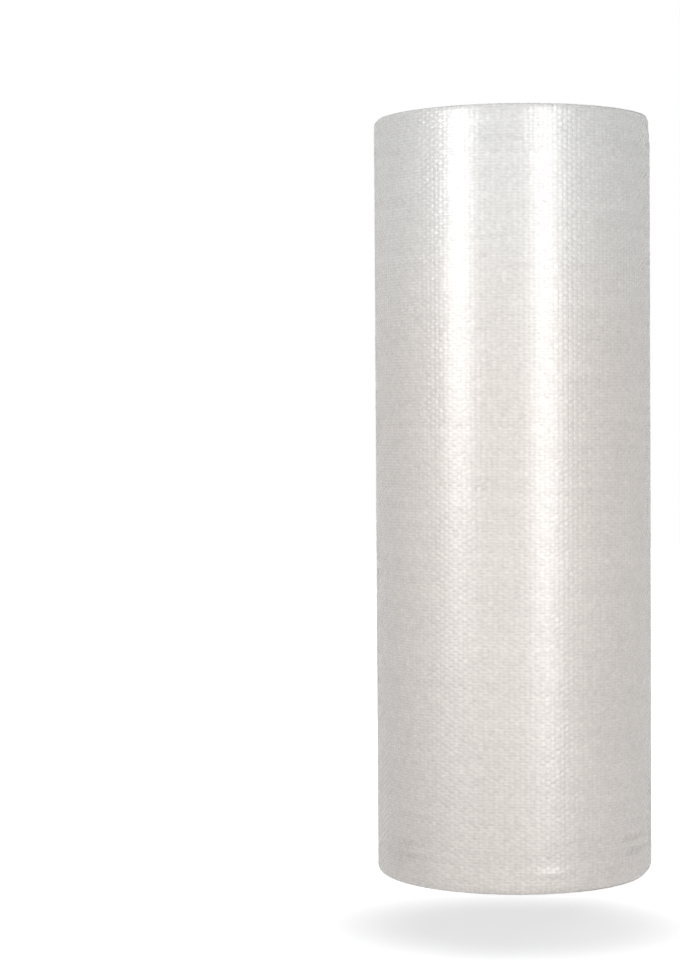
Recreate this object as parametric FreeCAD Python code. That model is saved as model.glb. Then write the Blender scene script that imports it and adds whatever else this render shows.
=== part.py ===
import FreeCAD, Part

import math
import os

# A tall roll of small-bubble wrap, standing on one end.
#
# The roll is one long web of bubble film wound on itself, so it is a single solid. It has a
# round hole where the winding shaft was, a fluted side whose flutes are the columns of
# bubbles, a straight step where the film ends on the back, soft rounded rims at both ends,
# and a spiral groove in each end face that shows how the turns lie.
#
# Frame: +Z up along the winding axis, the origin on that axis in the plane the roll stands
# on, and the front of the roll towards -Y. Sizes are in millimetres.

# Driving sizes
FILM_WIDTH = 1500.0          # width of the film, which is the height of the roll
ROLL_DIAMETER = 550.0        # across the bubbles of the last turn
SHAFT_HOLE_DIAMETER = 76.0   # hole left by the winding shaft
TURN_THICKNESS = 2.4         # one turn of film as wound, and the step where the film ends
TURNS_PER_GROOVE = 10        # turns of film that one turn of the end groove stands for
GROOVE_WIDTH = 2.5           # gap between neighbouring turns at an end face
GROOVE_DEPTH = 5.0           # how far that gap reaches into an end face
BUBBLE_PITCH = 11.5          # spacing of the bubbles up a column
COLUMN_RISE = 0.5            # mean height of a bubble column above the valley beside it
TOP_RIM_RADIUS = 15.0        # soft rounding of the upper rim
BOTTOM_RIM_RADIUS = 20.0     # rounding of the lower rim, pressed in by the roll's weight
RIM_BANDS = 4                # straight bands that make up the rounding of a rim
FILM_END_ANGLE = 108.0       # where the film ends, anticlockwise from +X seen from above

# Sizes that follow
ROLL_RADIUS = ROLL_DIAMETER / 2
HOLE_RADIUS = SHAFT_HOLE_DIAMETER / 2
COLUMN_SPACING = BUBBLE_PITCH * math.sin(math.radians(60))
COLUMN_COUNT = round(2 * math.pi * ROLL_RADIUS / COLUMN_SPACING)
VALLEY_RADIUS = ROLL_RADIUS - COLUMN_RISE
RIM_OUTER_RADIUS = VALLEY_RADIUS - TURN_THICKNESS
GROOVE_PITCH = TURNS_PER_GROOVE * TURN_THICKNESS

UP = FreeCAD.Vector(0, 0, 1)
AXIS_POINT = FreeCAD.Vector(0, 0, 0)


def polar(radius, angle, height=0.0):
    return FreeCAD.Vector(radius * math.cos(angle), radius * math.sin(angle), height)


def line(start, end):
    return Part.LineSegment(start, end).toShape()


def arc(start, middle, end):
    return Part.Arc(start, middle, end).toShape()


def rim_points(rim_radius, centre_height, direction):
    """Points of one rim's quarter circle, from the roll's side to its end face, in the XZ plane."""
    centre_radius = RIM_OUTER_RADIUS - rim_radius
    points = []
    for step in range(RIM_BANDS + 1):
        angle = math.pi / 2 * step / RIM_BANDS
        x = centre_radius + rim_radius * math.cos(angle)
        z = centre_height + direction * rim_radius * math.sin(angle)
        points.append(FreeCAD.Vector(x, 0, z))
    return points


def wound_body():
    """The roll inside its last turn: a ring about the shaft hole, with both rims rounded."""
    lower = rim_points(BOTTOM_RIM_RADIUS, BOTTOM_RIM_RADIUS, -1)
    upper = rim_points(TOP_RIM_RADIUS, FILM_WIDTH - TOP_RIM_RADIUS, 1)
    hole_top = FreeCAD.Vector(HOLE_RADIUS, 0, FILM_WIDTH)
    hole_bottom = FreeCAD.Vector(HOLE_RADIUS, 0, 0)
    outline = lower[::-1] + upper + [hole_top, hole_bottom]
    section = Part.Face(Part.makePolygon(outline + outline[:1]))
    return section.revolve(AXIS_POINT, UP, 360)


def bubble_columns():
    """The last turn: one shallow flute for each column of bubbles.

    The turn climbs by the film's thickness in one round, so its end stands as a step.
    """
    first_angle = math.radians(FILM_END_ANGLE)
    column_angle = 2 * math.pi / COLUMN_COUNT
    base = BOTTOM_RIM_RADIUS

    def point(column, rise=0.0):
        climb = TURN_THICKNESS * (column / COLUMN_COUNT - 1)
        return polar(VALLEY_RADIUS + climb + rise, first_angle + column * column_angle, base)

    flutes = [
        arc(point(column), point(column + 0.5, COLUMN_RISE), point(column + 1))
        for column in range(COLUMN_COUNT)
    ]
    film_end = line(point(COLUMN_COUNT), point(0))
    inner_radius = RIM_OUTER_RADIUS - 2 * TURN_THICKNESS
    inner = Part.Wire(Part.makeCircle(inner_radius, FreeCAD.Vector(0, 0, base), UP))
    ring = Part.makeFace([Part.Wire(flutes + [film_end]), inner], "Part::FaceMakerBullseye")
    return ring.extrude(UP * (FILM_WIDTH - TOP_RIM_RADIUS - BOTTOM_RIM_RADIUS))


def half_turns(start_radius, count, height):
    """A spiral of half circles, whose centres lie a quarter of the pitch either side of the axis."""
    edges = []
    for index in range(count):
        side = 1 if index % 2 else -1
        radius = start_radius + index * GROOVE_PITCH / 2
        centre = FreeCAD.Vector(side * GROOVE_PITCH / 4, 0, height)
        begin = math.pi * index
        stations = (begin, begin + math.pi / 2, begin + math.pi)
        edges.append(arc(*(centre + polar(radius, angle) for angle in stations)))
    return edges


def end_groove(height, rim_radius):
    """The gap between the turns at one end face, as a solid to cut away upwards from height."""
    start_radius = HOLE_RADIUS + GROOVE_PITCH
    flat_edge = RIM_OUTER_RADIUS - rim_radius - GROOVE_PITCH / 4
    count = int((flat_edge - GROOVE_WIDTH - start_radius) / (GROOVE_PITCH / 2))
    near = half_turns(start_radius, count, height)
    far = half_turns(start_radius + GROOVE_WIDTH, count, height)
    begin = line(near[0].firstVertex(True).Point, far[0].firstVertex(True).Point)
    finish = line(near[-1].lastVertex(True).Point, far[-1].lastVertex(True).Point)
    outline = Part.Wire(near + [finish] + far[::-1] + [begin])
    return Part.Face(outline).extrude(UP * GROOVE_DEPTH)


def bubble_wrap_roll():
    lower_groove = end_groove(0, BOTTOM_RIM_RADIUS)
    upper_groove = end_groove(FILM_WIDTH - GROOVE_DEPTH, TOP_RIM_RADIUS)
    return wound_body().fuse(bubble_columns()).cut([lower_groove, upper_groove])


os.makedirs("parts", exist_ok=True)
roll = bubble_wrap_roll()
roll.Solids[0].exportStep("parts/bubble_wrap_roll.step")
print("solids", len(roll.Solids), "valid", roll.isValid(), "volume m3", roll.Volume / 1e9)
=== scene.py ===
import math
from collections import namedtuple
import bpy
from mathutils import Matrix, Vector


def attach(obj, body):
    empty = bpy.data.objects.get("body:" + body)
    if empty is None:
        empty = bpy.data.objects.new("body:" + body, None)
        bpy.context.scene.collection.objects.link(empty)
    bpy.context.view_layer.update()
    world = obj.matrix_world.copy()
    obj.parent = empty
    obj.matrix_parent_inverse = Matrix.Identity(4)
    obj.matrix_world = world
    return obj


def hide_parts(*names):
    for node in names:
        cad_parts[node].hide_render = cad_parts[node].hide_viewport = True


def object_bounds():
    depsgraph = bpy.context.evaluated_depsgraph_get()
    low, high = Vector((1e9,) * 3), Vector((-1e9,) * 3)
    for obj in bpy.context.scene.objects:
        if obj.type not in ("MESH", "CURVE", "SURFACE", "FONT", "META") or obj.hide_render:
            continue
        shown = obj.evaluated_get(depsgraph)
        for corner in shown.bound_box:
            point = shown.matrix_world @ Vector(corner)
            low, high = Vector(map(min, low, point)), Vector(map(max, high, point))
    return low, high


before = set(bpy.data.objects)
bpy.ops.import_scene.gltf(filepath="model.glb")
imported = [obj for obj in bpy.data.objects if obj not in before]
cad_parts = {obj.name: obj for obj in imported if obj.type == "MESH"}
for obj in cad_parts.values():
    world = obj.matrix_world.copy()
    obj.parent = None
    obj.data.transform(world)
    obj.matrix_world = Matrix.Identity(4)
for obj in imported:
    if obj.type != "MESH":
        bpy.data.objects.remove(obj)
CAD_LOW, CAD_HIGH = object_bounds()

from types import SimpleNamespace

import bmesh
import bpy
import numpy as np
from bpy.props import FloatProperty, FloatVectorProperty, IntProperty, PointerProperty
from mathutils import Matrix, Vector

# A tall roll of small-bubble wrap that stands on one end, in a plain white studio.
#
# The last turn of film is modelled bubble by bubble. Each end face shows the film's edge in
# all its turns, and the shaft hole is lined with the first turn. Sizes are in metres, +Z is
# up along the winding axis, and the front of the roll faces -Y.

bl_info = {
    "name": "Bubble Wrap Roll",
    "version": (1, 0, 0),
    "blender": (4, 5, 0),
    "location": "3D View > Sidebar > Bubble Wrap",
    "description": "Models a tall roll of small-bubble wrap and a plain studio around it",
    "category": "Object",
}

NODE = "bubble_wrap_roll"
FULL_TURN = 2 * math.pi
CUT_TOLERANCE = 1e-5    # points closer than this are one point

# Film at the rims
CUT_LIP = 0.003         # how far the film turns in at the two ends of the roll
FOOT_SWAY = 0.005       # how much the lower rim's rounding grows from the middle to the right
NECK_PULL = 0.003       # how far the film is drawn in below the upper rim, on the right
NECK_HEIGHT = 0.07      # how far down from the upper end it is drawn in
RIM_SQUASH = 0.6        # share of its rise that a bubble loses where a rim turns over
STREAK_LENGTH = 16      # bubbles along a row that lean alike

# Film's edges at an end face
END_OVERLAP = 0.004     # how far an end face reaches under the rim's rounding
CREST_DEPTH = 0.0008    # mean depth of the film's edges below the end of the roll
GAP_DEPTH = 0.0034      # depth of the gaps between them
HOLE_FLUTE = 0.0006     # how far a column of bubbles stands into the shaft hole
HOLE_MARGIN = 0.001     # from each end of the roll to the hole's lining

# Dents in the side, as depth, angle from the front in degrees, height, and half the width in
# degrees and half the height that they spread over
Mark = namedtuple("Mark", "depth azimuth height half_width half_height")
HANDLING_MARKS = (
    Mark(0.0060, -50, 0.082, 13, 0.0055),
    Mark(0.0064, -47, 0.058, 14, 0.0060),
    Mark(0.0060, 57, 0.094, 14, 0.0055),
    Mark(0.0070, 60, 0.066, 16, 0.0070),
    Mark(0.0008, 42, 0.707, 30, 0.0030),
    Mark(-0.0042, 16, 0.042, 8, 0.0065),
)
DEEPEST_MARK = 0.007

# Upright lamps, as angle from the front in degrees, distance from the axis, heights of the two
# ends, width, watts, and whether the film mirrors them
Softbox = namedtuple("Softbox", "name azimuth distance low high width power mirrored")
SOFTBOXES = (
    Softbox("lamp_left", -42.5, 3.0, 0.83, 2.80, 1.05, 36.5, True),
    Softbox("lamp_left_low", -42.5, 3.0, 0.35, 0.83, 1.05, 3.3, True),
    Softbox("lamp_right", 26.5, 3.0, 0.42, 2.80, 1.05, 38.5, True),
    Softbox("lamp_right_low", 26.5, 3.0, 0.02, 0.42, 1.05, 3.9, True),
    Softbox("lamp_right_foot", 24.5, 1.6, 0.02, 0.18, 0.50, 0.4, True),
    Softbox("lamp_front_low", 0.0, 3.2, 0.04, 0.48, 1.60, 9.5, False),
    Softbox("lamp_back", 163.0, 2.4, 0.30, 2.70, 1.40, 44.0, False),
)


class RollSizes(bpy.types.PropertyGroup):
    """Sizes of the roll and of its film."""

    height: FloatProperty(
        name="Height", description="Width of the film, which is the height of the roll",
        default=CAD_HIGH.z - CAD_LOW.z, unit="LENGTH",
    )
    radius: FloatProperty(
        name="Radius", description="From the axis to the bubbles where the film ends",
        default=CAD_HIGH.y, unit="LENGTH",
    )
    hole_radius: FloatProperty(
        name="Hole Radius", description="Radius of the hole that the winding shaft left",
        default=0.038, unit="LENGTH",
    )
    turn_thickness: FloatProperty(
        name="Turn Thickness", description="How much the roll grows with each turn of film",
        default=0.0024, unit="LENGTH",
    )
    film_end_angle: FloatProperty(
        name="Film End Angle", description="Where the film ends, anticlockwise from +X",
        default=math.radians(108), unit="ROTATION",
    )
    bubble_pitch: FloatProperty(
        name="Bubble Pitch", description="Spacing of the bubbles up a column",
        default=0.0115, unit="LENGTH",
    )
    bubble_foot: FloatProperty(
        name="Bubble Foot", description="Radius of a bubble where it leaves the film",
        default=0.0050, unit="LENGTH",
    )
    bubble_shoulder: FloatProperty(
        name="Bubble Shoulder", description="Width of the sloping shoulder of a bubble",
        default=0.0009, unit="LENGTH",
    )
    bubble_rise: FloatProperty(
        name="Bubble Rise", description="Height of a bubble's flat top above the film",
        default=0.0010, unit="LENGTH",
    )
    top_rim: FloatProperty(
        name="Top Rim", description="Radius of the upper rim's rounding",
        default=0.012, unit="LENGTH",
    )
    bottom_rim: FloatProperty(
        name="Bottom Rim", description="Mean radius of the lower rim's rounding",
        default=0.020, unit="LENGTH",
    )


class FilmFinish(bpy.types.PropertyGroup):
    """Colours and gloss of the film."""

    colour: FloatVectorProperty(
        name="Film Colour", description="Milky colour of many turns seen through each other",
        subtype="COLOR", size=3, min=0, max=1, default=(0.757, 0.709, 0.666),
    )
    # Painted light: the upper end is painted paler and cooler than the film, for the lamps' neutral
    # sheen there.
    cool_colour: FloatVectorProperty(
        name="Upper Colour", description="Colour of the film near the upper end",
        subtype="COLOR", size=3, min=0, max=1, default=(0.76, 0.756, 0.742),
    )
    roughness: FloatProperty(
        name="Roughness", description="Roughness of the turns below the surface",
        default=0.28, min=0, max=1,
    )
    coat_roughness: FloatProperty(
        name="Surface Roughness", description="Roughness of the outermost film",
        default=0.10, min=0, max=1,
    )
    dome_slope: FloatProperty(
        name="Dome Slope", description="How fast a bubble's top starts to fall from its middle",
        default=0.08,
    )
    dome_edge: FloatProperty(
        name="Dome Edge", description="How much steeper a bubble's top gets towards its edge",
        default=0.11,
    )


class StudioSizes(bpy.types.PropertyGroup):
    """Camera, and the even light around the roll."""

    camera_distance: FloatProperty(
        name="Camera Distance", description="From the roll's axis to the camera",
        default=4.802, unit="LENGTH",
    )
    camera_height: FloatProperty(
        name="Camera Height", description="Height of the camera above the floor",
        default=0.907, unit="LENGTH",
    )
    camera_yaw: FloatProperty(
        name="Camera Yaw", description="Turn of the camera to the left of the roll's axis",
        default=math.radians(4.121), unit="ROTATION",
    )
    camera_pitch: FloatProperty(
        name="Camera Pitch", description="Tilt of the camera below the horizon",
        default=math.radians(1.61), unit="ROTATION",
    )
    camera_roll: FloatProperty(
        name="Camera Roll", description="Lean of the camera about its own line of sight",
        default=math.radians(0.363), unit="ROTATION",
    )
    camera_lens: FloatProperty(
        name="Camera Lens", description="Focal length in millimetres",
        default=88.6,
    )
    ambient: FloatProperty(
        name="Ambient", description="Strength of the even light from all sides",
        default=0.01,
    )


def film_columns(sizes):
    """(number of bubble columns in the last turn, their spacing as cut)."""
    spacing = sizes.bubble_pitch * math.sin(math.radians(60))
    return round(FULL_TURN * sizes.radius / spacing), spacing


def bubble_cell(sizes):
    """One bubble in its hexagon of flat film, with the film in the XY plane."""
    bm = bmesh.new()
    turned = Matrix.Rotation(math.pi / 2, 4, "Z")
    corner = sizes.bubble_pitch / math.sqrt(3)
    bmesh.ops.create_circle(bm, segments=6, radius=corner, matrix=turned)
    foot = bmesh.ops.create_circle(bm, segments=8, radius=sizes.bubble_foot)["verts"]
    foot_edges = [edge for edge in bm.edges if edge.verts[0] in foot]
    bmesh.ops.bridge_loops(bm, edges=bm.edges[:])
    top = bmesh.ops.contextual_create(bm, geom=foot_edges)["faces"]
    bmesh.ops.inset_region(
        bm, faces=top, thickness=sizes.bubble_shoulder, depth=0.0, use_even_offset=True,
    )
    bmesh.ops.translate(bm, verts=top[0].verts, vec=(0, 0, sizes.bubble_rise))
    bmesh.ops.recalc_face_normals(bm, faces=bm.faces[:])
    if top[0].normal.z < 0:
        bmesh.ops.reverse_faces(bm, faces=bm.faces[:])
    for face in bm.faces:
        face.smooth = True
    for edge in list(top[0].edges) + foot_edges:
        edge.smooth = False
    mesh = bpy.data.meshes.new("bubble_cell")
    bm.to_mesh(mesh)
    bm.free()
    return mesh


def linked(name, data):
    """A new object of the scene."""
    made = bpy.data.objects.new(name, data)
    bpy.context.scene.collection.objects.link(made)
    return made


def repeated(mesh, steps):
    """The mesh in a row for each (count, offset) in turn, with the borders that meet merged."""
    tile = linked(mesh.name, mesh)
    for count, offset in steps:
        array = tile.modifiers.new("repeat", "ARRAY")
        array.count = count
        array.use_relative_offset = False
        array.use_constant_offset = True
        array.constant_offset_displace = offset
        array.use_merge_vertices = True
        array.merge_threshold = CUT_TOLERANCE
    evaluated = tile.evaluated_get(bpy.context.evaluated_depsgraph_get())
    made = bpy.data.meshes.new_from_object(evaluated)
    bpy.data.objects.remove(tile)
    bpy.data.meshes.remove(mesh)
    return made


def cut_straight(bm, point, outwards, lip):
    """Cuts the flat film along a straight line and turns its edge down by lip."""
    geom = bm.verts[:] + bm.edges[:] + bm.faces[:]
    bmesh.ops.bisect_plane(
        bm, geom=geom, dist=CUT_TOLERANCE / 10, plane_co=point, plane_no=outwards, clear_outer=True,
    )
    line = [
        edge for edge in bm.edges
        if edge.is_boundary
        and all(abs((v.co - Vector(point)).dot(Vector(outwards))) < CUT_TOLERANCE for v in edge.verts)
    ]
    if lip:
        for edge in line:
            edge.smooth = False
        turned = bmesh.ops.extrude_edge_only(bm, edges=line)["geom"]
        verts = [item for item in turned if isinstance(item, bmesh.types.BMVert)]
        for vert in verts:
            vert.co.z = -lip


def smooth_grid(name, across, up):
    """A square of smooth faces with sides of 1 m, to be wound into shape."""
    bm = bmesh.new()
    bmesh.ops.create_grid(bm, x_segments=across, y_segments=up, size=0.5)
    for face in bm.faces:
        face.smooth = True
    mesh = bpy.data.meshes.new(name)
    bm.to_mesh(mesh)
    bm.free()
    return mesh


def coordinates(mesh):
    points = np.empty(len(mesh.vertices) * 3, np.float32)
    mesh.vertices.foreach_get("co", points)
    return points.reshape(-1, 3).astype(float)


def set_coordinates(mesh, x, y, z):
    points = np.stack([x, y, z], axis=1).astype(np.float32)
    mesh.vertices.foreach_set("co", points.ravel())
    mesh.update()


def add_attribute(mesh, name, values):
    attribute = mesh.attributes.new(name, "FLOAT", "POINT")
    attribute.data.foreach_set("value", values.astype(np.float32))


def smooth_step(low, high, values):
    share = np.clip((values - low) / (high - low), 0, 1)
    return share * share * (3 - 2 * share)


def azimuth_from_front(theta):
    """Angle from the front of the roll, positive to the right as the camera sees it."""
    return np.arctan2(np.cos(theta), -np.sin(theta))


def handling_marks(azimuth, height):
    """How far the side is pressed in by handling: creases above the foot and one faint bar."""
    depth = 0.0
    for mark in HANDLING_MARKS:
        across = (azimuth - math.radians(mark.azimuth)) / math.radians(mark.half_width)
        up = (height - mark.height) / mark.half_height
        depth = depth + mark.depth * np.exp(-(across ** 2 + up ** 2))
    return depth


def neck_pull(azimuth, height, roll_height):
    """How far the film is drawn in below the upper rim, on the right."""
    near_top = smooth_step(roll_height - NECK_HEIGHT, roll_height, height)
    return NECK_PULL * near_top * smooth_step(math.radians(20), math.radians(90), azimuth)


def wind_outside(mesh, sizes, across_length):
    """Lays flat film on the last turn: x runs with the winding, y up the roll, z outwards."""
    along, across, proud = coordinates(mesh).T
    columns, spacing = film_columns(sizes)
    turn = along / (columns * spacing)
    theta = sizes.film_end_angle + FULL_TURN * turn
    azimuth = azimuth_from_front(theta)
    film_radius = sizes.radius - sizes.bubble_rise - sizes.turn_thickness * (1 - turn)
    lower = sizes.bottom_rim + FOOT_SWAY * np.sin(azimuth)
    upper = np.full_like(lower, sizes.top_rim)
    lower_arc = math.pi / 2 * lower
    upper_arc = math.pi / 2 * upper
    side = sizes.height - lower - upper
    arc_length = across / across_length * (lower_arc + side + upper_arc)
    low_angle = np.clip(arc_length / lower, 0, math.pi / 2)
    high_angle = np.clip((arc_length - lower_arc - side) / upper, 0, math.pi / 2)
    up_side = np.clip(arc_length - lower_arc, 0, side)
    radius = film_radius - lower * (1 - np.sin(low_angle)) - upper * (1 - np.cos(high_angle))
    height = lower * (1 - np.cos(low_angle)) + up_side + upper * np.sin(high_angle)
    outwards = np.sin(low_angle) * np.cos(high_angle)
    upwards = np.sin(high_angle) - np.cos(low_angle)
    pressed = handling_marks(azimuth, height)
    # The material paints the dents darker with this, as painted shade, and the bulge at the foot
    # paler, as a painted highlight.
    add_attribute(mesh, "pressed", pressed / DEEPEST_MARK)
    radius = radius - pressed - neck_pull(azimuth, height, sizes.height)
    squash = 1 - RIM_SQUASH * np.maximum(1 - np.sin(low_angle), 1 - np.cos(high_angle))
    proud = np.where(proud > 0, proud * squash, proud)
    set_coordinates(
        mesh,
        (radius + proud * outwards) * np.cos(theta),
        (radius + proud * outwards) * np.sin(theta),
        height + proud * upwards,
    )


def streaks(chance, shape):
    """Chance that runs on along each row of bubbles."""
    columns, rows = shape
    knots = chance.normal(0, 1, (columns // STREAK_LENGTH + 2, rows))
    place = (np.arange(columns)[:, None] + chance.uniform(0, STREAK_LENGTH, rows)) / STREAK_LENGTH
    knot = np.clip(place.astype(int), 0, len(knots) - 2)
    share = place - knot
    row = np.arange(rows)
    return knots[knot, row] * (1 - share) + knots[knot + 1, row] * share


def uneven_bubbles(mesh, sizes, pitch, rows):
    """Tilts and lowers each bubble's top a little, no two alike."""
    columns, spacing = film_columns(sizes)
    along, across, proud = coordinates(mesh).T
    column = np.rint(along / spacing - 0.5)
    shift = np.where(column % 2 == 0, 0.5, 1.0)
    row = np.rint(across / pitch - shift)
    aside = along - (column + 0.5) * spacing
    above = across - (row + shift) * pitch
    column = np.clip(column + 1, 0, columns + 2).astype(int)
    row = np.clip(row + 1, 0, rows + 2).astype(int)
    chance = np.random.default_rng(11)
    shape = (columns + 3, rows + 3)
    lean_aside = chance.normal(0, 0.040, shape)[column, row]
    lean_above = (chance.normal(0, 0.04, shape) + 0.02 * streaks(chance, shape))[column, row]
    fullness = (chance.uniform(0.84, 1.0, shape) - 0.06 * np.abs(streaks(chance, shape)))[column, row]
    cloud = (chance.normal(0, 1, shape) + streaks(chance, shape))[column, row]
    top = proud > sizes.bubble_rise / 2
    proud = np.where(top, proud * fullness + lean_aside * aside + lean_above * above, proud)
    set_coordinates(mesh, along, across, proud)
    add_attribute(mesh, "cloud", cloud)
    top_radius = sizes.bubble_foot - sizes.bubble_shoulder
    add_attribute(mesh, "aside", np.where(top, aside / top_radius, 0))
    add_attribute(mesh, "above", np.where(top, above / top_radius, 0))
    add_attribute(mesh, "along", along)
    add_attribute(mesh, "across", across)


def finished(mesh, name, material):
    """The mesh as a piece of the roll, which stands for the CAD solid."""
    piece = linked(name, mesh)
    mesh.materials.append(material)
    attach(piece, "root")
    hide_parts(NODE)


def node(tree, kind, settings=None, **inputs):
    """Adds a shader node. An input is a value, or the socket that feeds it."""
    made = tree.nodes.new(kind)
    for key, value in (settings or {}).items():
        setattr(made, key, value)
    for key, value in inputs.items():
        socket = made.inputs[int(key[1:])] if key[0] == "_" else made.inputs[key.replace("_", " ")]
        if isinstance(value, bpy.types.NodeSocket):
            tree.links.new(value, socket)
        else:
            socket.default_value = value
    return made


def math_node(tree, operation, first, second=0.0, third=0.0):
    """The result of one Math node."""
    made = node(tree, "ShaderNodeMath", {"operation": operation}, _0=first, _1=second, _2=third)
    return made.outputs[0]


def new_material(name):
    """An empty node material with its tree and its Principled shader."""
    material = bpy.data.materials.new(name)
    material.use_nodes = True
    tree = material.node_tree
    return material, tree, tree.nodes["Principled BSDF"]


def attribute(tree, name):
    """The socket of one of the mesh's own attributes."""
    return node(tree, "ShaderNodeAttribute", {"attribute_name": name}).outputs["Fac"]


def vector_node(tree, operation, first, second=(0, 0, 0), **inputs):
    """The result of one Vector Math node."""
    made = node(
        tree, "ShaderNodeVectorMath", {"operation": operation}, _0=first, _1=second, **inputs,
    )
    return made.outputs["Value" if operation in ("DOT_PRODUCT", "LENGTH") else "Vector"]


def noise(tree, place, scale, detail):
    """A cloudy value from 0 to 1."""
    made = node(tree, "ShaderNodeTexNoise", Vector=place, Scale=scale, Detail=detail)
    return made.outputs["Fac"]


def ramp(tree, value, low, high, start=0.0, end=1.0, kind="LINEAR"):
    """Goes from start to end while the value goes from low to high."""
    made = node(
        tree, "ShaderNodeMapRange", {"interpolation_type": kind},
        Value=value, From_Min=low, From_Max=high, To_Min=start, To_Max=end,
    )
    return made.outputs[0]


def weighted_sum(tree, start, parts):
    """A number plus each socket times its weight."""
    total = start
    for socket, weight in parts:
        total = math_node(tree, "MULTIPLY_ADD", socket, weight, total)
    return total


def film_sockets(tree, sizes):
    """What the film's colour and its normals both need."""
    place = node(tree, "ShaderNodeTexCoord").outputs["Object"]
    crown = attribute(tree, "crown")
    up = attribute(tree, "across")
    rows_wave = math_node(tree, "MULTIPLY", up, 2 * FULL_TURN / sizes.bubble_pitch)
    flattened = vector_node(tree, "MULTIPLY", place, (1, 1, 2.4))
    return SimpleNamespace(
        place=place,
        height=node(tree, "ShaderNodeSeparateXYZ", _0=place).outputs["Z"],
        crown=crown,
        aside=math_node(tree, "MULTIPLY", attribute(tree, "aside"), crown),
        above=math_node(tree, "MULTIPLY", attribute(tree, "above"), crown),
        along=attribute(tree, "along"),
        up=up,
        rows=math_node(tree, "COSINE", rows_wave),
        strokes=noise(tree, flattened, 85.0, 1.0),
        ripples=noise(tree, flattened, 140.0, 2.0),
    )


def bubble_lattice(tree, film, sizes, stretch, shift, rise):
    """Tone of a deeper turn of bubbles, from -0.5 to 1: the sum of a lattice's three waves."""
    _, spacing = film_columns(sizes)
    column = math_node(tree, "MULTIPLY_ADD", film.along, stretch * math.pi / spacing, shift)
    row = math_node(tree, "MULTIPLY_ADD", film.up, FULL_TURN / sizes.bubble_pitch, rise)
    waves = (
        math_node(tree, "MULTIPLY", column, 2.0),
        math_node(tree, "ADD", row, column),
        math_node(tree, "SUBTRACT", row, column),
    )
    total = 0.0
    for wave in waves:
        total = math_node(tree, "ADD", math_node(tree, "COSINE", wave), total)
    return math_node(tree, "DIVIDE", total, 3.0)


def film_colour(tree, sizes, finish, film):
    """The milky colour of many turns, warmer lower down; the paler, cooler upper end is painted light,
    the lamps' neutral sheen there.
    """
    share = ramp(tree, film.height, sizes.height * 0.60, sizes.height, kind="SMOOTHSTEP")
    mixed = node(
        tree, "ShaderNodeMix", {"data_type": "RGBA"},
        Factor=share, _6=(*finish.colour, 1), _7=(*finish.cool_colour, 1),
    )
    return mixed.outputs[2]


def film_tone(tree, sizes, film):
    """How pale the film is. The shoulders are painted paler, a painted sheen for the light they
    scatter, and deeper turns show through.
    """
    columns, spacing = film_columns(sizes)
    slip = FULL_TURN * sizes.turn_thickness / spacing / columns
    flat = math_node(tree, "SUBTRACT", 1.0, film.crown)
    columns_wave = math_node(tree, "MULTIPLY", film.along, FULL_TURN / spacing)
    in_columns = math_node(tree, "MULTIPLY", noise(tree, film.place, 4.0, 1.0), -0.02)
    in_rows = math_node(tree, "MULTIPLY", film.strokes, 0.055)
    return weighted_sum(tree, 0.675, (
        # Painted sheen: the bubbles' shoulders are paler
        (math_node(tree, "MULTIPLY", film.crown, flat), 0.08),
        # Painted light from above: the upper half of each bubble is paler
        (film.above, 0.02),
        (math_node(tree, "COSINE", columns_wave), in_columns),
        # Painted glints: thin pale and dim lines along the rows of bubbles
        (film.rows, in_rows),
        (bubble_lattice(tree, film, sizes, 1 - slip, 0.9, 1.7), 0.018),
        (bubble_lattice(tree, film, sizes, 1 - 2 * slip, 2.3, 3.9), 0.014),
        (attribute(tree, "cloud"), 0.018),
        (noise(tree, film.place, 9.0, 3.0), 0.05),
        (film.ripples, 0.28),
        (film.strokes, 0.28),
        # Painted shade in the dents, and a painted highlight on the bulge at the foot
        (attribute(tree, "pressed"), -0.05),
    ))


def cut_edge_shade_mask(tree, sizes, film):
    """Painted shade: 1 at the film's cut edges and just under its end, and 0 on the open film."""
    columns, spacing = film_columns(sizes)
    length = columns * spacing
    near = 0.0
    for share in (
        ramp(tree, film.height, sizes.height - 0.0035, sizes.height - 0.0015),
        ramp(tree, film.height, 0.0035, 0.0010),
        ramp(tree, film.along, length - 0.0016, length - 0.0004),
        ramp(tree, film.along, 0.0035, 0.0),
    ):
        near = math_node(tree, "MAXIMUM", share, near)
    return near


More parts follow.
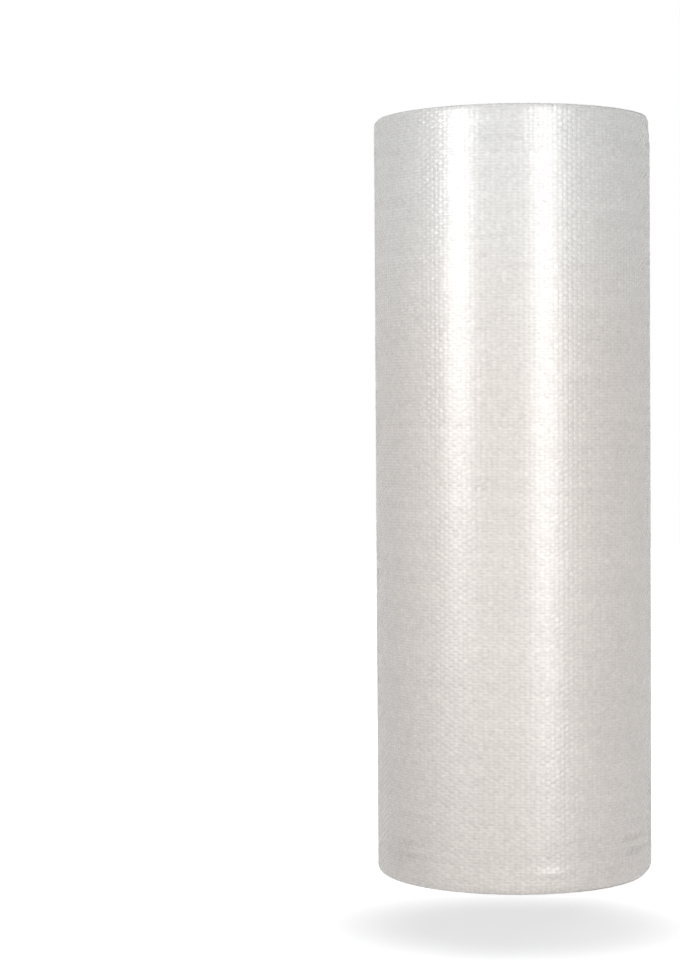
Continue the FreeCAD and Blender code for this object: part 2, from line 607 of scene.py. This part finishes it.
def film_normals(tree, finish, film):
    """(normal of the turns below the surface, normal of the outermost film)."""
    surface = node(tree, "ShaderNodeNewGeometry").outputs["Normal"]
    level = vector_node(tree, "MULTIPLY", film.place, (1, 1, 0))
    round_normal = vector_node(tree, "NORMALIZE", level)
    winding = vector_node(tree, "CROSS_PRODUCT", (0, 0, 1), round_normal)

    # Each bubble's top is a shallow dome
    from_middle = math_node(tree, "MULTIPLY", film.aside, film.aside)
    from_middle = math_node(tree, "MULTIPLY_ADD", film.above, film.above, from_middle)
    slope = math_node(tree, "MULTIPLY_ADD", from_middle, finish.dome_edge, finish.dome_slope)
    outwards = vector_node(
        tree, "ADD", vector_node(tree, "SCALE", winding, Scale=film.aside),
        vector_node(tree, "SCALE", (0, 0, 1), Scale=film.above),
    )
    by_row = math_node(tree, "MULTIPLY", film.rows, 0.04)
    lean = vector_node(
        tree, "ADD", vector_node(tree, "SCALE", outwards, Scale=slope),
        vector_node(tree, "SCALE", winding, Scale=by_row),
    )
    domed = vector_node(tree, "NORMALIZE", vector_node(tree, "ADD", surface, lean))

    # The turns below are smoother, so their normal leans towards that of a plain cylinder
    facing = vector_node(tree, "DOT_PRODUCT", surface, round_normal)
    on_side = math_node(tree, "GREATER_THAN", facing, 0.6)
    calm = math_node(tree, "MULTIPLY", on_side, 0.68)
    below = node(
        tree, "ShaderNodeMix", {"data_type": "VECTOR"}, Factor=calm, _4=domed, _5=round_normal,
    ).outputs[1]

    # Fine wrinkles make the outermost film glint
    wrinkled = node(
        tree, "ShaderNodeBump", Strength=0.85, Distance=0.0012, Height=film.ripples, Normal=domed,
    ).outputs[0]
    return vector_node(tree, "NORMALIZE", below), wrinkled


def film_material(sizes, finish):
    """Clear film over many turns of bubbles: a milky body under a glossy uneven skin."""
    material, tree, shader = new_material("bubble_film")
    film = film_sockets(tree, sizes)
    # Painted shade: the film is darker at its cut edges and just under its end
    painted_edge_shade = math_node(tree, "MULTIPLY_ADD", cut_edge_shade_mask(tree, sizes, film), -0.28, 1.0)
    tone = math_node(tree, "MULTIPLY", film_tone(tree, sizes, film), painted_edge_shade)
    colour = vector_node(tree, "SCALE", film_colour(tree, sizes, finish, film), Scale=tone)
    below, wrinkled = film_normals(tree, finish, film)
    tree.links.new(colour, shader.inputs["Base Color"])
    tree.links.new(below, shader.inputs["Normal"])
    tree.links.new(wrinkled, shader.inputs["Coat Normal"])
    shader.inputs["Roughness"].default_value = finish.roughness
    shader.inputs["IOR"].default_value = 1.5
    shader.inputs["Specular IOR Level"].default_value = 0.85
    shader.inputs["Coat Weight"].default_value = 1.0
    shader.inputs["Coat Roughness"].default_value = finish.coat_roughness
    shader.inputs["Coat IOR"].default_value = 1.5
    return material


def edge_material(finish):
    """Film seen edge on: pale lips, with the gaps between the turns painted dim as painted shade."""
    material, tree, shader = new_material("film_edges")
    place = node(tree, "ShaderNodeTexCoord").outputs["Object"]
    tone = weighted_sum(tree, 0.62, (
        # Painted shade: the gaps between the turns, where crown is 0, are darker
        (attribute(tree, "crown"), 0.45),
        (noise(tree, place, 22.0, 4.0), 0.12),
    ))
    colour = vector_node(tree, "SCALE", tuple(finish.cool_colour), Scale=tone)
    tree.links.new(colour, shader.inputs["Base Color"])
    shader.inputs["Roughness"].default_value = 0.35
    shader.inputs["IOR"].default_value = 1.5
    return material


def settings():
    scene = bpy.context.scene
    return scene.bubble_roll_sizes, scene.bubble_roll_finish, scene.bubble_roll_studio


class BUBBLEROLL_OT_outer_turn(bpy.types.Operator):
    """Model the last turn of film, bubble by bubble, in bands up the roll"""

    bl_idname = "bubble_roll.outer_turn"
    bl_label = "Wind Outer Turn"

    bands: IntProperty(name="Bands", description="Pieces that the last turn is made in", default=5)

    def execute(self, context):
        sizes, finish, _ = settings()
        columns, spacing = film_columns(sizes)
        rims = sizes.top_rim + sizes.bottom_rim
        across_length = sizes.height - rims + math.pi / 2 * rims
        pitch = sizes.bubble_pitch
        rows = round(across_length / pitch)
        material = film_material(sizes, finish)
        for band in range(self.bands):
            first = rows * band // self.bands
            last = rows * (band + 1) // self.bands
            lowest, highest = band == 0, band == self.bands - 1
            start = first - 1 if lowest else first
            count = last - start + (1 if highest else 0)
            mesh = repeated(
                bubble_cell(sizes),
                [
                    (count, (0, pitch, 0)),
                    (2, (spacing, pitch / 2, 0)),
                    (columns // 2 + 2, (2 * spacing, 0, 0)),
                ],
            )
            mesh.transform(Matrix.Translation((-1.5 * spacing, (start + 0.5) * pitch, 0)))
            self.cut(mesh, sizes, columns * spacing, rows * pitch, lowest, highest)
            add_attribute(mesh, "crown", np.clip(coordinates(mesh)[:, 2] / sizes.bubble_rise, 0, 1))
            uneven_bubbles(mesh, sizes, pitch, rows)
            wind_outside(mesh, sizes, rows * pitch)
            finished(mesh, f"outer_turn_{band + 1}", material)
        return {"FINISHED"}

    def cut(self, mesh, sizes, length, width, lowest, highest):
        """Cuts a band at the film's two ends, and at the rim that it reaches."""
        bm = bmesh.new()
        bm.from_mesh(mesh)
        cut_straight(bm, (0, 0, 0), (-1, 0, 0), 0)
        cut_straight(bm, (length, 0, 0), (1, 0, 0), sizes.turn_thickness)
        if lowest:
            cut_straight(bm, (0, 0, 0), (0, -1, 0), CUT_LIP)
        if highest:
            cut_straight(bm, (0, width, 0), (0, 1, 0), CUT_LIP)
        bm.to_mesh(mesh)
        bm.free()


class BUBBLEROLL_OT_end_faces(bpy.types.Operator):
    """Model the film's edge in all its turns, at both ends of the roll"""

    bl_idname = "bubble_roll.end_faces"
    bl_label = "Show Turns At Ends"

    def execute(self, context):
        sizes, finish, _ = settings()
        material = edge_material(finish)
        self.face("upper_end", sizes, material, upper=True, steps=200)
        self.face("lower_end", sizes, material, upper=False, steps=120)
        return {"FINISHED"}

    def face(self, name, sizes, material, upper, steps):
        """One end face, with a crest and a gap for each turn from the hole to the rim."""
        rim = sizes.top_rim if upper else sizes.bottom_rim
        edge_radius = sizes.radius - rim + END_OVERLAP
        turns = int((edge_radius - sizes.hole_radius) / sizes.turn_thickness)
        mesh = smooth_grid(name, steps, 2 * turns)
        across, out, _ = coordinates(mesh).T
        turn = across + 0.5
        theta = sizes.film_end_angle + FULL_TURN * turn
        half = np.rint((out + 0.5) * 2 * turns)
        wound = half / 2 + turn
        radius = sizes.hole_radius + sizes.turn_thickness * wound
        crest = half % 2 == 0
        arc = FULL_TURN * (sizes.hole_radius * wound + sizes.turn_thickness * wound ** 2 / 2)
        scallop = np.cos(FULL_TURN * arc / film_columns(sizes)[1])
        chance = np.random.default_rng(23 if upper else 29)
        knots = np.arange(0, turns + 3, 0.125)
        wander = np.interp(wound, knots, chance.normal(0, 1, len(knots)))
        drift = np.interp(wound, knots, chance.normal(0, 1, len(knots)))
        crest_depth = CREST_DEPTH + 0.0003 * scallop + 0.0006 * np.abs(wander)
        sunk = np.where(crest, crest_depth, GAP_DEPTH)
        radius = radius + np.where(crest, 0.00022 * drift + 0.00018 * scallop, 0)
        height = sizes.height - sunk if upper else sunk
        set_coordinates(mesh, radius * np.cos(theta), radius * np.sin(theta), height)
        add_attribute(mesh, "crown", crest.astype(float))
        if not upper:
            mesh.flip_normals()
        self.close_seam(mesh)
        finished(mesh, name, material)

    def close_seam(self, mesh):
        """Joins the two sides of the grid where they meet."""
        bm = bmesh.new()
        bm.from_mesh(mesh)
        bmesh.ops.remove_doubles(bm, verts=bm.verts[:], dist=CUT_TOLERANCE)
        bm.to_mesh(mesh)
        bm.free()


class BUBBLEROLL_OT_shaft_lining(bpy.types.Operator):
    """Model the first turn of film, which lines the shaft hole"""

    bl_idname = "bubble_roll.shaft_lining"
    bl_label = "Line Shaft Hole"

    def execute(self, context):
        sizes, finish, _ = settings()
        columns = round(FULL_TURN * sizes.hole_radius / film_columns(sizes)[1])
        mesh = smooth_grid("shaft_lining", 2 * columns, 130)
        across, up, _ = coordinates(mesh).T
        turn = across + 0.5
        column = np.rint(turn * 2 * columns)
        theta = sizes.film_end_angle + FULL_TURN * turn
        radius = sizes.hole_radius + sizes.turn_thickness * turn
        radius = radius - np.where(column % 2 == 0, HOLE_FLUTE, 0)
        height = HOLE_MARGIN + (up + 0.5) * (sizes.height - 2 * HOLE_MARGIN)
        set_coordinates(mesh, radius * np.cos(theta), radius * np.sin(theta), height)
        mesh.flip_normals()
        add_attribute(mesh, "crown", np.ones(len(mesh.vertices)))
        finished(mesh, "shaft_lining", edge_material(finish))
        return {"FINISHED"}


class BUBBLEROLL_OT_studio(bpy.types.Operator):
    """Set up the floor, the lamps, the white surroundings and the camera"""

    bl_idname = "bubble_roll.studio"
    bl_label = "Build Studio"

    def execute(self, context):
        _, _, studio = settings()
        self.floor()
        self.surroundings(context.scene, studio)
        for lamp in SOFTBOXES:
            self.softbox(lamp)
        self.overhead("lamp_above", behind=0.20, height=3.3, size=1.4, power=22.0)
        self.camera(context.scene, studio)
        context.scene.view_settings.view_transform = "Standard"
        return {"FINISHED"}

    def floor(self):
        """White paper, with the soft shade that the photo has in front of the roll."""
        bm = bmesh.new()
        bmesh.ops.create_grid(bm, x_segments=1, y_segments=1, size=12.0)
        mesh = bpy.data.meshes.new("floor")
        bm.to_mesh(mesh)
        bm.free()
        floor = linked("floor", mesh)
        material, tree, shader = new_material("floor_paper")
        tree.nodes.remove(shader)
        place = node(tree, "ShaderNodeTexCoord").outputs["Object"]
        # Painted shadow: the floor glows less in an ellipse in front of the roll, where its faint blue
        # tint shows; the paper's real shade also shows through it
        from_shade = vector_node(tree, "SUBTRACT", place, (0.012, -0.54, 0))
        from_shade = vector_node(tree, "DIVIDE", from_shade, (0.37, 0.325, 1))
        from_shade = vector_node(tree, "MULTIPLY", from_shade, (1, 1, 0))
        shade_distance = vector_node(tree, "LENGTH", from_shade)
        around = ramp(tree, shade_distance, 0.40, 1.45, 0.415, 0.92, "SMOOTHSTEP")
        far = ramp(tree, vector_node(tree, "LENGTH", place), 0.9, 2.0, 0.0, 0.25, "SMOOTHSTEP")
        path = node(tree, "ShaderNodeLightPath").outputs
        mirrored = math_node(tree, "MAXIMUM", path["Is Glossy Ray"], path["Is Transmission Ray"])
        glow = math_node(tree, "MULTIPLY", math_node(tree, "ADD", around, far), path["Is Camera Ray"])
        glow = math_node(tree, "MULTIPLY_ADD", path["Is Diffuse Ray"], 0.10, glow)
        paper = node(tree, "ShaderNodeBsdfDiffuse", Color=(0.65, 0.65, 0.65, 1)).outputs[0]
        light = node(tree, "ShaderNodeEmission", Color=(0.98, 0.985, 1.0, 1), Strength=glow).outputs[0]
        lit = node(tree, "ShaderNodeAddShader", _0=paper, _1=light).outputs[0]
        white = node(tree, "ShaderNodeEmission", Color=(1, 1, 1, 1), Strength=1.0).outputs[0]
        both = node(tree, "ShaderNodeMixShader", _0=mirrored, _1=lit, _2=white)
        tree.links.new(both.outputs[0], tree.nodes["Material Output"].inputs["Surface"])
        mesh.materials.append(material)

    def surroundings(self, scene, studio):
        """An even dim light, which a camera, a reflection or clear film sees as white."""
        world = bpy.data.worlds.new("studio")
        scene.world = world
        world.use_nodes = True
        tree = world.node_tree
        path = node(tree, "ShaderNodeLightPath").outputs
        seen = math_node(tree, "MAXIMUM", path["Is Camera Ray"], path["Is Glossy Ray"])
        seen = math_node(tree, "MAXIMUM", seen, path["Is Transmission Ray"])
        dim = tree.nodes["Background"]
        dim.inputs["Color"].default_value = (1, 1, 1, 1)
        dim.inputs["Strength"].default_value = studio.ambient
        white = node(tree, "ShaderNodeBackground", Color=(1, 1, 1, 1), Strength=1.0)
        both = node(tree, "ShaderNodeMixShader", _0=seen, _1=dim.outputs[0], _2=white.outputs[0])
        tree.links.new(both.outputs[0], tree.nodes["World Output"].inputs["Surface"])

    def softbox(self, lamp):
        """An upright lamp that faces the roll."""
        angle = math.radians(lamp.azimuth)
        outwards = Vector((math.sin(angle), -math.cos(angle), 0))
        place = outwards * lamp.distance + Vector((0, 0, (lamp.low + lamp.high) / 2))
        size = (lamp.width, lamp.high - lamp.low)
        self.lamp(lamp.name, size, lamp.power, place, -outwards, lamp.mirrored)

    def overhead(self, name, behind, height, size, power):
        """A square lamp above the roll, which points at the foot of its axis."""
        place = Vector((0, behind, height))
        self.lamp(name, (size, size), power, place, -place, False)

    def lamp(self, name, size, power, place, direction, mirrored):
        """A rectangular lamp, which the camera doesn't see."""
        data = bpy.data.lights.new(name, "AREA")
        data.shape = "RECTANGLE"
        data.size, data.size_y = size
        data.energy = power
        lamp = linked(name, data)
        lamp.location = place
        lamp.rotation_euler = direction.to_track_quat("-Z", "Y").to_euler()
        lamp.visible_glossy = mirrored
        lamp.visible_camera = False

    def camera(self, scene, studio):
        """The camera that the photo was taken with, as fitted to the roll's outline."""
        data = bpy.data.cameras.new("camera")
        data.lens = studio.camera_lens
        data.sensor_width = 36.0
        data.sensor_fit = "AUTO"
        camera = linked("camera", data)
        turn = Matrix.Rotation(studio.camera_yaw, 4, "Z")
        tilt = Matrix.Rotation(math.pi / 2 - studio.camera_pitch, 4, "X")
        lean = Matrix.Rotation(-studio.camera_roll, 4, "Z")
        place = Matrix.Translation((0, -studio.camera_distance, studio.camera_height))
        camera.matrix_world = place @ turn @ tilt @ lean
        scene.camera = camera


class BUBBLEROLL_PT_panel(bpy.types.Panel):
    """Lists the steps that make the roll"""

    bl_idname = "BUBBLEROLL_PT_panel"
    bl_label = "Bubble Wrap Roll"
    bl_space_type = "VIEW_3D"
    bl_region_type = "UI"
    bl_category = "Bubble Wrap"

    def draw(self, context):
        column = self.layout.column()
        for operator in OPERATORS:
            column.operator(operator.bl_idname)
        for group in (context.scene.bubble_roll_sizes, context.scene.bubble_roll_finish):
            for name in group.bl_rna.properties.keys():
                if name not in ("rna_type", "name"):
                    column.prop(group, name)


GROUPS = (RollSizes, FilmFinish, StudioSizes)
OPERATORS = (
    BUBBLEROLL_OT_outer_turn,
    BUBBLEROLL_OT_end_faces,
    BUBBLEROLL_OT_shaft_lining,
    BUBBLEROLL_OT_studio,
)


def register():
    for group in GROUPS:
        bpy.utils.register_class(group)
    bpy.types.Scene.bubble_roll_sizes = PointerProperty(type=RollSizes)
    bpy.types.Scene.bubble_roll_finish = PointerProperty(type=FilmFinish)
    bpy.types.Scene.bubble_roll_studio = PointerProperty(type=StudioSizes)
    for operator in OPERATORS:
        bpy.utils.register_class(operator)
    bpy.utils.register_class(BUBBLEROLL_PT_panel)


def unregister():
    bpy.utils.unregister_class(BUBBLEROLL_PT_panel)
    for operator in reversed(OPERATORS):
        bpy.utils.unregister_class(operator)
    del bpy.types.Scene.bubble_roll_studio
    del bpy.types.Scene.bubble_roll_finish
    del bpy.types.Scene.bubble_roll_sizes
    for group in reversed(GROUPS):
        bpy.utils.unregister_class(group)


def main():
    register()
    bpy.ops.bubble_roll.outer_turn()
    bpy.ops.bubble_roll.end_faces()
    bpy.ops.bubble_roll.shaft_lining()
    bpy.ops.bubble_roll.studio()


if __name__ == "__main__":
    main()
